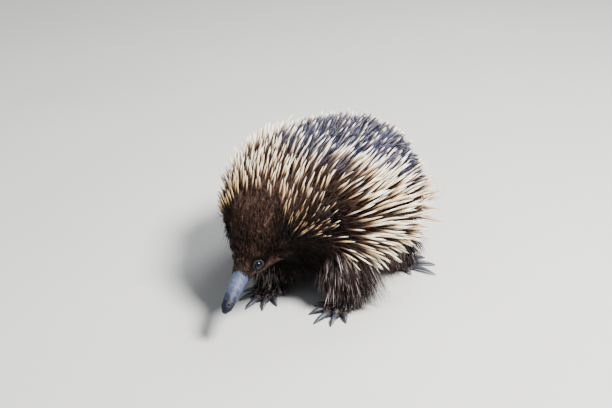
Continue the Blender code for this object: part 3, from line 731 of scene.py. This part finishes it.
def byRegion(values, place, turn):
    flank, top, neck, side = (np.asarray(v, float) for v in values)
    dome, nape, cheek, _ = regions(place, turn)
    value = flank + (top - flank) * dome
    value = value + (neck - value) * nape
    return value + (side - value) * cheek


def aside(angle, place, turn):  # how far hair turns towards the ground on its way back
    droop, nape = (np.interp(turn, *spines[k]) for k in ("droop", "napeDroop"))
    droop = droop + 20 * fall(place, -90, -10) * ramp(turn, -30, 0) * fall(turn, 40, 75)
    return -np.radians(droop + (nape - droop) * ramp(place, 55, 82)) * np.clip(3 * np.cos(angle), -1, 1)


def growSpines():
    def wanted(along, angle):
        place, turn = whereOn(along, angle)
        above, behind = np.interp(place, *spines["lowest"]), np.interp(np.abs(turn), *spines["crownEnd"])
        return ((turn > above) & (place < behind) & (regions(place, turn)[3] < 0.5)).astype(float)

    low, high = trunk.along((spines["from"], spines["to"]))
    along, angle = scatter(trunk, spines["spacing"], low, high, skinLift, wanted)
    here, ahead, turn, out = trunk.seats(along, angle, skinLift)
    place, rise = whereOn(along, angle)
    gap = byRegion(spines["gap"], place, rise)
    gap = gap + spines["rearGap"] * fall(place, -70, 0) * fall(rise, 40, 70)
    gap = gap * dice.uniform(0.85, 1.2, len(along))
    keep = np.nonzero((farFrom(here, earSpots) > spines["earClear"]) & onSkin(here, 2.0))[0]
    keep = keep[thin(here[keep], gap[keep])]
    along, angle, here, ahead, turn, out, place, rise = (
        v[keep] for v in (along, angle, here, ahead, turn, out, place, rise))
    count, wander = len(along), spines["wander"]
    _, nape, cheek, _ = regions(place, rise)
    lean = byRegion(spines["lean"], place, rise) + np.interp(place, (-134, -108), (spines["stubUp"], 0))
    lean = lean + nape * (1 - cheek) * np.interp(rise, *spines["napeSide"])
    side = ramp(rise, -5, 12) * fall(rise, 40, 60)
    lean = lean - spines["rearFlatter"] * fall(place, -80, -20) * side * ramp(place, -128, -112)
    lean = np.radians(np.clip(lean + dice.normal(0, wander, count) + 5 * wave(here, 60, 8), 16, 86))
    turned = aside(angle, place, rise) + np.radians(dice.normal(0, wander, count) + 6 * wave(here, 45, 9))
    short, long = (byRegion([pair[k] for pair in spines["shown"]], place, rise) for k in (0, 1))
    shown = (short + (long - short) * dice.random(count)) * mm * np.interp(place, (-134, -105), (0.55, 1))
    rear = fall(place, -60, 0) * fall(rise, -8, 22)
    beforeGap = ramp(place, 78, 86) * fall(place, 98, 112) * fall(np.abs(rise - 8), 12, 24)
    shown = (shown + spines["rearShown"] * mm * rear * dice.random(count)) * (1 - 0.5 * beforeGap)
    length = furHeight(place, rise) / np.sin(lean) + shown
    thickness = byRegion(spines["radius"], place, rise) * mm * dice.uniform(0.78, 1.12, count)
    return {"root": here, "aim": aimOf(ahead, out, turn, lean, turned), "flat": turn, "length": length,
            "width": thickness, "thick": thickness, "sag": down * (length * spines["sag"])[:, None],
            "place": place, "turn": rise, "patch": patchOf(trunk, along, angle, unwrap["trunk"]),
            "luck": dice.random(count), "hidden": 1 - shown / length}


def spineColour(share, hairs):
    luck, place, turn = hairs["luck"], hairs["place"], hairs["turn"]
    dome, nape, cheek, _ = regions(place, turn)
    seen = np.clip((share - hairs["hidden"]) / (1 - hairs["hidden"]), 0, 1)  # share of the part that shows
    # paler towards the end that shows: partly the spines' own colour, partly painted highlight
    body = blend(hue["spine"], hue["spinePale"], ramp(0.6 * luck + 0.75 * seen, 0.2, 0.95))
    rear = fall(place, -70, 10) * fall(turn, 5, 35)
    gold = (0.6 * ramp(place, 88, 108) + 0.85 * rear + 0.35 * cheek + 0.12 * nape
            + 0.9 * fall(seen + 0.35 * (luck - 0.5), 0.05, 0.55))
    # on the dome the spines turn near white: partly their own colour, partly painted highlight
    body = blend(blend(body, hue["spineGold"], np.clip(gold, 0, 1)), hue["spineDome"], 0.8 * dome)
    # below the fur's top the spine takes the fur's darkened root colour, then a dull tan: partly its own dark
    # base, partly painted shade inside the fur
    dark, _ = furColours(hairs["root"], place, turn)
    tan = hue["spineRoot"] * (0.25 + 0.5 * luck * (1 - 0.6 * dome))[:, None]
    colour = blend(dark * 0.8, tan, ramp(share - hairs["hidden"], -0.1, 0.02))
    body = body * (1 - (0.22 - 0.22 * dome) * np.sin(40 * luck) ** 2)[:, None]
    colour = blend(colour, body, ramp(share - hairs["hidden"], -0.02, 0.1 + 0.12 * luck))
    tipped = (0.3 + 0.7 * luck) * (1 - 0.6 * dome) * (1 - 0.7 * nape)
    return blend(colour, hue["spineTip"], ramp(share, 0.86, 0.96) * tipped)


growMany("spines", spineShape, growSpines(), spineColour, "spiny_coat")


# fur

shortHair = bladeShape(((0, 0.75), (0.35, 1.0), (0.72, 0.62)), 3)
longHair = bladeShape(((0, 0.8), (0.25, 1.0), (0.5, 0.82), (0.78, 0.5)), 3)


def furOn(tube, kind, low, high, lift, wanted, box, lengthOf=None, leanOf=None, sag=0.12, widest=0.14):
    # lengthOf, leanOf and sag take place, turn and height; without lengthOf the fur is as deep as furHeight
    own, face = fur[kind], kind == "face"
    along, angle = scatter(tube, own["spacing"], low, high, lift, wanted, widest)
    here, ahead, turn, out = tube.seats(along, angle, lift)
    keep = onSkin(here) & (farFrom(here, eyeSpots) > fur["eyeClear"])
    along, angle, here, ahead, turn, out = (v[keep] for v in (along, angle, here, ahead, turn, out))
    place, rise, count = tube.place(along), turnOf(angle), len(along)
    up, calm = here[:, 2] / mm, 0.4 if face else 1
    lean = own["lean"] + (leanOf(place, rise, up) if leanOf else 0)
    lean = lean + calm * (dice.normal(0, 8, count) + 8 * wave(here, 14, 22))
    lean = np.radians(np.clip(lean, 5 if lengthOf else 18, 86))
    if lengthOf:
        length = lengthOf(place, rise, up) * mm
    else:
        length = np.minimum(furHeight(place, rise) / np.sin(lean), 34 * mm)
    length = length * dice.uniform(0.72, 1.18, count) * (1 + 0.12 * wave(here, 9 if face else 16, 21))
    turned = calm * (dice.normal(0, 0.16, count) + 0.26 * wave(here, 19, 23) + 0.12 * wave(here, 6, 24))
    onTrunk = tube is trunk  # the rows of the tail and legs already run the way that the hair lies
    turned = turned + (aside(angle, place, rise) if onTrunk else 0)
    circle = np.column_stack([np.cos(angle), np.sin(angle), along * 3.5]) * 40 * mm  # streaks along the body
    luck = np.clip(0.62 * dice.random(count) + 0.19 + 0.19 * wave(circle, 3.2, 25), 0, 1)
    sag = sag(place, rise, up) if callable(sag) else sag
    return {"root": here, "aim": aimOf(ahead if onTrunk else -ahead, out, turn, lean, turned), "flat": turn,
            "length": length, "width": own["width"] * mm * dice.uniform(0.6, 1.25, count),
            "thick": own["thick"] * mm * dice.uniform(0.7, 1.2, count),
            "sag": down * (length * sag)[:, None], "place": place, "turn": rise,
            "patch": patchOf(tube, along, angle, box), "luck": luck}


def trunkFurColour(share, hairs):
    luck, place, turn = hairs["luck"], hairs["place"], hairs["turn"]
    root, tip = furColours(hairs["root"], place, turn)
    colour = blend(root * (0.3 + 0.7 * share), tip, ramp(share, 0.3, 0.95) * (0.05 + 0.95 * luck ** 2))
    dome = regions(place, turn)[0]
    colour = colour * ((0.42 - 0.2 * dome) + (1 + 0.25 * dome) * luck)[:, None]
    fleck = dome * (np.sin(9000 * luck) > 0.96) * ramp(share, 0.55, 0.8)  # a few paler tips on the dome
    return blend(colour, hue["spineDome"] * 0.45, fleck)


def legColour(share, hairs):
    luck = hairs["luck"]
    # painted highlight: pale silvery tips on some leg hairs, picked by luck
    colour = blend(hue["leg"], hue["legHighlightTip"], ramp(share, 0.15, 0.8) * np.clip(luck * 2.6 - 1.5, 0, 1))
    brown = np.clip(0.5 + 0.6 * wave(hairs["root"], 24, 31), 0, 1) * ramp(hairs["root"][:, 2] / mm, 25, 60)
    return blend(colour, hue["skirtTip"] * 0.6, 0.35 * brown * (1 - luck)) * (0.4 + 0.9 * luck[:, None])


def onBack(along, angle):
    place, turn = whereOn(along, angle)
    return ramp(turn, -26, -12) * fall(place, 84, 98) * (0.55 + 0.45 * regions(place, turn)[0])


def onSkirt(along, angle):
    place, turn = whereOn(along, angle)
    return fall(turn, -26, -12) * fall(place, 84, 98) * (1 - 0.6 * ramp(-turn, 48, 70))


def onFace(along, angle):  # down to a ragged edge on the beak, with a bare tongue up its bridge
    place, turn = whereOn(along, angle)
    edge = faceEdge(turn) + 1.2 * np.sin(9 * angle + 1) + 1.4 * np.sin(23 * angle)
    return ramp(place, 84, 98) * fall(place, edge - 2.5, edge)


def skirtLength(place, turn, up):  # longest where it hangs over the forelegs
    cape = ramp(place, -30, 5) * fall(place, 66, 84) * ramp(-turn, 8, 22) * fall(-turn, 48, 62)
    return np.interp(turn, (-80, -55, -35, -15), (9, 15, 27, 26)) + 20 * cape


def everywhere(along, angle):
    return np.ones(len(along))


def sunk(depth):  # the surface of a leg or the tail where its skin is
    return lambda along, angle: np.full(len(along), -depth * mm)


neckEnd = trunk.along(98)
growMany("backFur", longHair, furOn(
    trunk, "back", 0, neckEnd, skinLift, onBack, unwrap["trunk"],
    leanOf=lambda p, t, up: np.interp(t, (0, 45), (-16, 0))), trunkFurColour, "spiny_coat")
growMany("skirtFur", longHair, furOn(
    trunk, "skirt", 0, neckEnd, skinLift, onSkirt, unwrap["trunk"], lengthOf=skirtLength,
    sag=lambda p, t, up: np.interp(t, (-80, -40, -15), (0.1, 0.55, 0.4))), trunkFurColour, "fur")
growMany("faceFur", shortHair, furOn(
    trunk, "face", trunk.along(84), trunk.along(161), skinLift, onFace, unwrap["trunk"], widest=0.11,
    lengthOf=lambda p, t, up: (np.interp(p, (86, 104, 122, 138, 150, 159), (15, 12, 10, 7.5, 4.5, 3))
                               + 16 * ramp(-t, 8, 34) * fall(p, 108, 126)),
    leanOf=lambda p, t, up: np.interp(p, (88, 110, 140, 158), (10, 3, 0, -6)) * ramp(t, -20, 20),
    sag=lambda p, t, up: 0.05 + 0.5 * ramp(-t, 8, 34) * fall(p, 108, 126)),
    trunkFurColour, "fur")
growMany("tailFur", shortHair, furOn(
    tail, "leg", 0, tail.length, sunk(body["tailSink"]), everywhere, unwrap["tail"],
    lengthOf=lambda p, t, up: np.full(len(p), 18), widest=0.03), trunkFurColour, "fur")
for name, tube in legs.items():
    behind, lifted = (14, 17) if "fore" in name else (8, 26)
    growMany(name + "Fur", longHair, furOn(
        tube, "leg", 0, tube.length, sunk(body["legSink"]), everywhere, unwrap[name],
        lengthOf=lambda p, t, up: (np.interp(up, (8, 30, 60, 90), (10, 20, 32, 30))
                                   + behind * ramp(-t, -10, 50) * ramp(up, 30, 70)),
        leanOf=lambda p, t, up: lifted * ramp(-t, -10, 60) * ramp(up, 26, 58),
        sag=lambda p, t, up: 0.3 + 0.34 * ramp(-t, -10, 50), widest=0.05), legColour, "fur")


def growFeet():
    sets, kind, palm = [], fur["foot"], palmTube()
    for name in feet:
        toes = [toeTubes(name, *row)[:2] for row in feet[name][3]]
        for matrix, tube in [(footMatrix(name), palm)] + toes:
            end, widest = (0.97, 0.025) if tube is palm else (0.8, 0.008)
            along, angle = scatter(tube, kind["spacing"], 0, tube.length * end, sunk(0),
                                   lambda s, a: ramp(turnOf(a), 2, 20), widest)
            here, ahead, turn, out = tube.seats(along, angle)
            here, ahead, turn, out = (v @ np.array(matrix.to_3x3()).T for v in (here, ahead, turn, out))
            here = here + np.array(matrix.translation)
            keep = onSkin(here, 0.9)
            here, ahead, turn, out = (v[keep] for v in (here, ahead, turn, out))
            count = len(here)
            lean = np.radians(np.clip(kind["lean"] + dice.normal(0, 8, count), 5, 60))
            length = mm * dice.uniform(*kind["length"], count) * (1 if tube is palm else 0.7)
            aim = aimOf(-ahead, out, turn, lean, dice.normal(0, 0.25, count))
            sets.append({"root": here, "aim": aim, "flat": turn, "length": length,
                         "width": np.full(count, kind["width"] * mm),
                         "thick": np.full(count, kind["thick"] * mm), "sag": down * (length * 0.15)[:, None],
                         "patch": patchOf(tube, along[keep], angle[keep], unwrap["feet"]),
                         "luck": dice.random(count)})
    return {key: np.concatenate([one[key] for one in sets]) for key in sets[0]}


growMany("footFur", shortHair, growFeet(), legColour, "fur")


# finishes

class Value:  # a shader value that sums can be written with
    def __init__(self, sheet, socket):
        self.sheet, self.socket = sheet, socket

    def __add__(self, other):
        return self.sheet.math("ADD", self, other)

    def __sub__(self, other):
        return self.sheet.math("SUBTRACT", self, other)

    def __rsub__(self, other):
        return self.sheet.math("SUBTRACT", other, self)

    def __mul__(self, other):
        return self.sheet.math("MULTIPLY", self, other)

    __radd__, __rmul__ = __add__, __mul__

    def ramp(self, low, high):
        return self.sheet.node("MapRange", {"interpolation_type": "SMOOTHSTEP"},
                               {"Value": self, "From Min": low, "From Max": high})


class Sheet:  # one material and its nodes
    def __init__(self, name, specular=0.5, **constants):
        self.material = bpy.data.materials.new(name)
        self.material.use_nodes = True
        self.tree = self.material.node_tree
        self.shader = self.tree.nodes["Principled BSDF"]
        self.shader.inputs["Specular IOR Level"].default_value = specular
        for key, value in constants.items():
            self.shader.inputs[key].default_value = value

    def feed(self, socket, value):
        if isinstance(value, Value):
            self.tree.links.new(value.socket, socket)
        elif socket.type == "RGBA":
            socket.default_value = (*value[:3], 1)
        else:
            socket.default_value = value

    def node(self, kind, settings=None, values=None, out=0):
        made = self.tree.nodes.new("ShaderNode" + kind)
        for key, value in (settings or {}).items():
            setattr(made, key, value)
        for key, value in (values or {}).items():
            self.feed(made.inputs[key], value)
        return Value(self, made.outputs[out])

    def math(self, how, a, b):
        return self.node("Math", {"operation": how}, {0: a, 1: b})

    def attribute(self, name, out="Fac"):
        return self.node("Attribute", {"attribute_name": name}, out=out)

    def mix(self, share, a, b, how="MIX"):
        return self.node("Mix", {"data_type": "RGBA", "blend_type": how}, {0: share, 6: a, 7: b}, out=2)

    def noise(self, size, detail=3, rough=0.55):  # size in millimetres
        spot = self.node("TexCoord", out="Object")
        return self.node("TexNoise", None, {"Vector": spot, "Scale": 1000 / size, "Detail": detail,
                                            "Roughness": rough})

    def cells(self, size):
        spot = self.node("TexCoord", out="Object")
        return self.node("TexVoronoi", None, {"Vector": spot, "Scale": 1000 / size}, "Distance")

    def tinted(self, *shades):  # the tint of the mesh, made lighter and darker by the shades of its channels
        grey = self.node("CombineColor", values=dict(enumerate(shades)))
        return self.mix(1.0, self.attribute("tint", "Color"), grey, "MULTIPLY")

    def finish(self, colour, roughness, height=None, depth=0):
        self.feed(self.shader.inputs["Base Color"], colour)
        self.feed(self.shader.inputs["Roughness"], roughness)
        if height is not None:
            bump = self.node("Bump", values={"Height": height, "Distance": depth * mm, "Strength": 1.0})
            self.feed(self.shader.inputs["Normal"], bump)
        return self.material


def furFinish():
    sheet = Sheet("furFinish", 0.07)
    fine, broad = sheet.noise(1.3, 2), sheet.noise(7, 2)
    shade = (fine - 0.5) * 0.5 + (broad - 0.5) * 0.5 + 1
    roughness = 0.6 + (fine - 0.5) * 0.3
    return sheet.finish(sheet.tinted(shade, shade, shade), roughness, sheet.noise(0.5, 2), 0.06)


def spineFinish():
    sheet = Sheet("spineFinish")
    fine, broad = sheet.noise(1.1), sheet.noise(9, 2)
    shade = (fine - 0.5) * 0.35 + (broad - 0.5) * 0.3 + 1
    colour = sheet.tinted(shade, shade * 0.99, shade * 0.95)
    return sheet.finish(colour, 0.3 + fine * 0.25, sheet.noise(0.35, 2), 0.05)


def skinFinish():
    sheet = Sheet("skinFinish", 0.25)
    under = sheet.attribute("tint", "Color")
    bare, footSkin = sheet.attribute("bare"), sheet.attribute("footSkin")
    mottle, grain = sheet.noise(5.5, 4, rough=0.62), sheet.noise(1.7, 4, rough=0.7)
    specks = sheet.cells(1.1)
    dark, pale = hue["beak"] * (0.62, 0.55, 0.42), hue["beak"] * (1.4, 1.34, 1.22)
    beakColour = sheet.mix(grain.ramp(0.38, 0.62), dark, pale)
    beakColour = sheet.mix(mottle.ramp(0.5, 0.7) * 0.45, beakColour, hue["beakWarm"])
    beakColour = sheet.mix((1 - specks.ramp(0.1, 0.5)) * 0.65, beakColour, hue["beak"] * 0.22)
    beakColour = sheet.mix(sheet.attribute("tipDark"), beakColour, hue["beakDark"])
    soleColour = sheet.mix(mottle.ramp(0.35, 0.7), hue["sole"] * 0.6, hue["sole"])
    colour = sheet.mix(bare, sheet.mix(footSkin, under, soleColour), beakColour)
    height = sheet.noise(1.0) * 0.5 + specks * 0.5
    roughness = 0.72 - bare * 0.22 + (mottle - 0.5) * 0.2
    return sheet.finish(colour, roughness, height, 0.35)


def eyeFinish():
    sheet = Sheet("eyeFinish", 0.22)
    mottle, ring = sheet.noise(0.8), sheet.attribute("ring")
    # painted reflection: a faint pale ring round the middle of the dark eye
    ringReflection = ring.ramp(0.5, 0.68) * (1 - ring.ramp(0.8, 0.92)) * mottle.ramp(0.2, 0.6)
    return sheet.finish(sheet.mix(ringReflection, hue["eye"], hue["ringReflection"]), 0.1)


def lidFinish():
    sheet = Sheet("lidFinish", 0.4, **{"Coat Weight": 0.15, "Coat Roughness": 0.25})
    mottle, lines = sheet.noise(2.2, 4), sheet.noise(0.7, 2)
    colour = sheet.mix(sheet.attribute("rim") * (0.55 + mottle * 0.8), hue["lid"], hue["lidPale"])
    return sheet.finish(colour, 0.32 + mottle * 0.2, lines, 0.25)


def clawFinish():
    sheet = Sheet("clawFinish")
    grain, broad = sheet.noise(1.4), sheet.noise(6)
    colour = sheet.mix(broad.ramp(0.35, 0.7), hue["claw"] * 0.45, hue["claw"])
    return sheet.finish(colour, 0.3 + grain * 0.25, grain, 0.12)


def paint(pieces, material):
    for piece in pieces:
        piece.data.materials.clear()
        piece.data.materials.append(material)


def tintSkin():  # bare beak and feet, the coat's colours under the coat with its painted shade, and the dark end of the beak
    co = spotsOf(skin.data.vertices)
    place, turn = nearest(co)
    ragged = np.sin(co[:, 0] * 2100) * np.sin(co[:, 2] * 1900)
    mark(skin.data, "bare", ramp(place - faceEdge(turn) + ragged, -4, 1))
    near = np.zeros(len(co), bool)
    for name in feet:
        offset = co - np.array(footMatrix(name).translation)
        near |= np.linalg.norm(offset[:, :2], axis=1) < foot["bareWithin"] * mm
    mark(skin.data, "footSkin", near * fall(co[:, 2] / mm, 9, 17))
    under, _ = furColours(co, place, turn)
    lower = fall(co[:, 2] / mm, 30, 55) * fall(place, 100, 120)
    under = blend(under, hue["leg"], lower) * 0.55
    mark(skin.data, "tint", np.column_stack([under, np.ones(len(co))]), "FLOAT_COLOR")
    tipSpot = trunk.row(trunk.length)[0][:3]
    mark(skin.data, "tipDark", 0.96 * fall(farFrom(co, [tipSpot]) + 4 * wave(co, 5, 5), 10, 34))


tintSkin()
paint([skin], skinFinish())
paint([p for p in coatPieces if p.name.startswith("spines")], spineFinish())
paint([p for p in coatPieces if not p.name.startswith("spines")], furFinish())
paint([ball for ball, _ in eyePieces], eyeFinish())
paint([lid for _, lid in eyePieces], lidFinish())
paint(clawPieces, clawFinish())
print("finishes")


# floor, lights and camera

studio = {
    "floor": 14, "floorColours": (lin((180, 180, 178)), lin((187, 187, 185))), "world": (0.86, 0.9, 0.96),
    "worldStrength": 0.27, "target": (0, -22, 99), "lens": 60, "camera": (41, 28, 1.232),
    # round from the front, up and distance, as for the camera, then size, power and colour
    "lights": {"key": (95, 56, 1.7, 0.55, 132, (1, 0.98, 0.95)),
               "fill": (-20, 38, 2.2, 1.8, 12, (0.9, 0.94, 1)),
               "rim": (190, 52, 1.9, 0.9, 30, (0.96, 0.98, 1))},
}


def lookFrom(name, data, azimuth, elevation, distance):  # aimed at the middle of the animal
    a, e = math.radians(azimuth), math.radians(elevation)
    back = Vector((math.sin(a) * math.cos(e), -math.cos(a) * math.cos(e), math.sin(e)))
    made = bpy.data.objects.new(name, data)
    made.location = Vector(studio["target"]) * mm + Vector(shift) + back * distance
    made.rotation_euler = (-back).to_track_quat("-Z", "Y").to_euler()
    bpy.context.scene.collection.objects.link(made)
    return made


def makeStudio():
    bm = bmesh.new()
    bmesh.ops.create_grid(bm, x_segments=1, y_segments=1, size=studio["floor"] / 2)
    floor = newPiece("floor", bm, False)
    sheet = Sheet("floorFinish")
    grain = sheet.noise(260)
    paint([floor], sheet.finish(sheet.mix(grain, *studio["floorColours"]), 0.75 + grain * 0.1))
    floor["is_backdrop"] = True
    for name, (azimuth, elevation, distance, size, power, colour) in studio["lights"].items():
        light = lookFrom(name, bpy.data.lights.new(name, "AREA"), azimuth, elevation, distance)
        light.data.shape, light.data.size = "DISK", size
        light.data.energy, light.data.color = power, colour
    world = bpy.data.worlds.new("studio")
    bpy.context.scene.world = world
    world.use_nodes = True
    background = world.node_tree.nodes["Background"].inputs
    background["Color"].default_value = (*studio["world"], 1)
    background["Strength"].default_value = studio["worldStrength"]
    camera = lookFrom("camera", bpy.data.cameras.new("camera"), *studio["camera"])
    camera.data.lens, camera.data.sensor_width = studio["lens"], 36
    camera.data.clip_start, camera.data.clip_end = 0.01, 50
    bpy.context.scene.camera = camera


makeStudio()
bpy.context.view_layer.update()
for name, box in (("box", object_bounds()), ("cad", cadBox)):
    print(name, [tuple(round(x, 4) for x in v) for v in box])
